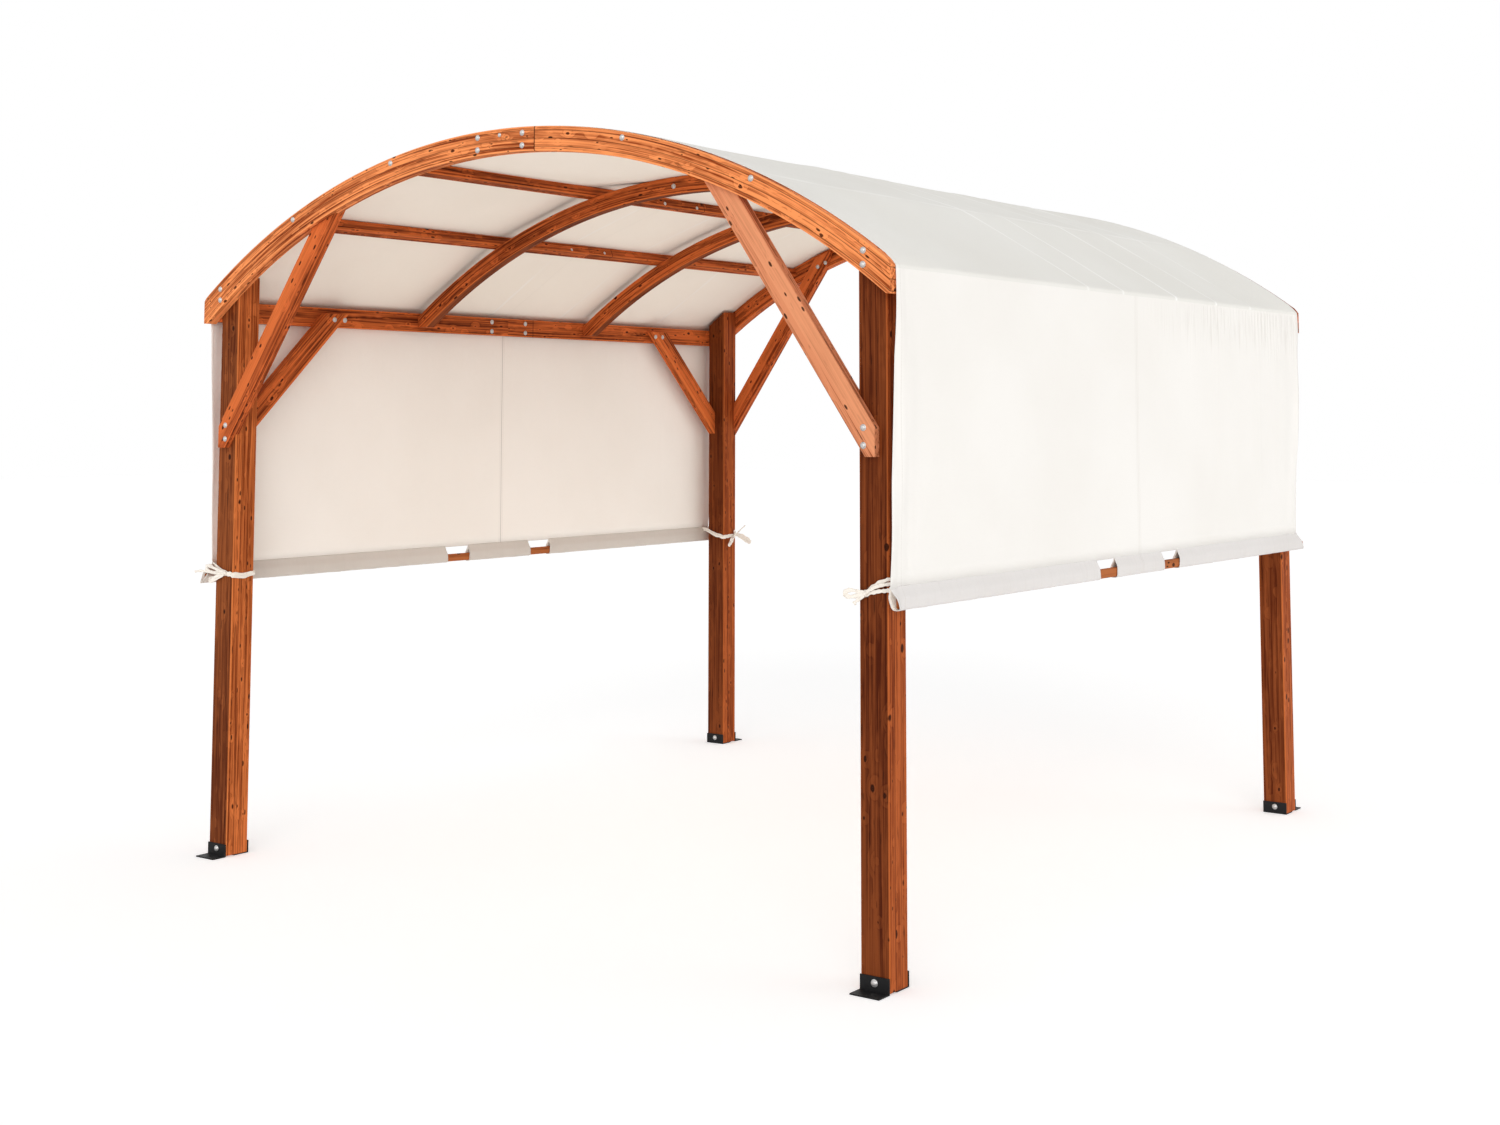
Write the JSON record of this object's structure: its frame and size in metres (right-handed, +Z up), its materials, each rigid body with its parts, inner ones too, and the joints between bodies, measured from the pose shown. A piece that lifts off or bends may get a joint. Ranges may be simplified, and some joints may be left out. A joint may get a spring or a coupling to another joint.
{
  "type": "garden gazebo",
  "caption": "Open timber garden gazebo with laminated curved arches, knee-braced square posts and a fabric canopy that hangs down as a short drop on each side",
  "frame": {"origin": "on the floor at the middle of the footprint", "axes": "+X runs to the right along the front, +Y from front to back, +Z up"},
  "size_m": [3.0272, 3.148, 2.5181],
  "materials": {
    "arch_timber": "oiled orange-brown softwood with knots",
    "frame_timber": "stained red-brown softwood with knots",
    "canopy_fabric": "plain woven cream canopy cloth",
    "cotton_tape": "off-white cotton tape",
    "bracket_steel": "black powder coat"
  },
  "bodies": {
    "root": {"arch_back_left": "arch_timber", "arch_back_right": "arch_timber", "arch_brace_back_left": "frame_timber", "arch_brace_back_right": "frame_timber", "arch_brace_front_left": "frame_timber", "arch_brace_front_right": "frame_timber", "arch_front_left": "arch_timber", "arch_front_right": "arch_timber", "canopy_roof": "canopy_fabric", "drop_left": "canopy_fabric", "drop_right": "canopy_fabric", "eave_beam_left_back": "frame_timber", "eave_beam_left_front": "frame_timber", "eave_beam_right_back": "frame_timber", "eave_beam_right_front": "frame_timber", "hem_rail_left": "frame_timber", "hem_rail_right": "frame_timber", "hem_sleeve_left": "canopy_fabric", "hem_sleeve_right": "canopy_fabric", "post_back_left": "frame_timber", "post_back_right": "frame_timber", "post_bracket_back_left": "bracket_steel", "post_bracket_back_right": "bracket_steel", "post_bracket_front_left": "bracket_steel", "post_bracket_front_right": "bracket_steel", "post_front_left": "frame_timber", "post_front_right": "frame_timber", "purlin_lower_left_back": "frame_timber", "purlin_lower_left_front": "frame_timber", "purlin_lower_right_back": "frame_timber", "purlin_lower_right_front": "frame_timber", "purlin_upper_left_back": "frame_timber", "purlin_upper_left_front": "frame_timber", "purlin_upper_right_back": "frame_timber", "purlin_upper_right_front": "frame_timber", "rafter_back_left": "frame_timber", "rafter_back_right": "frame_timber", "rafter_front_left": "frame_timber", "rafter_front_right": "frame_timber", "side_brace_back_left": "frame_timber", "side_brace_back_right": "frame_timber", "side_brace_front_left": "frame_timber", "side_brace_front_right": "frame_timber", "tie_back_left": "cotton_tape", "tie_back_right": "cotton_tape", "tie_front_left": "cotton_tape", "tie_front_right": "cotton_tape"}
  },
  "joints": []
}
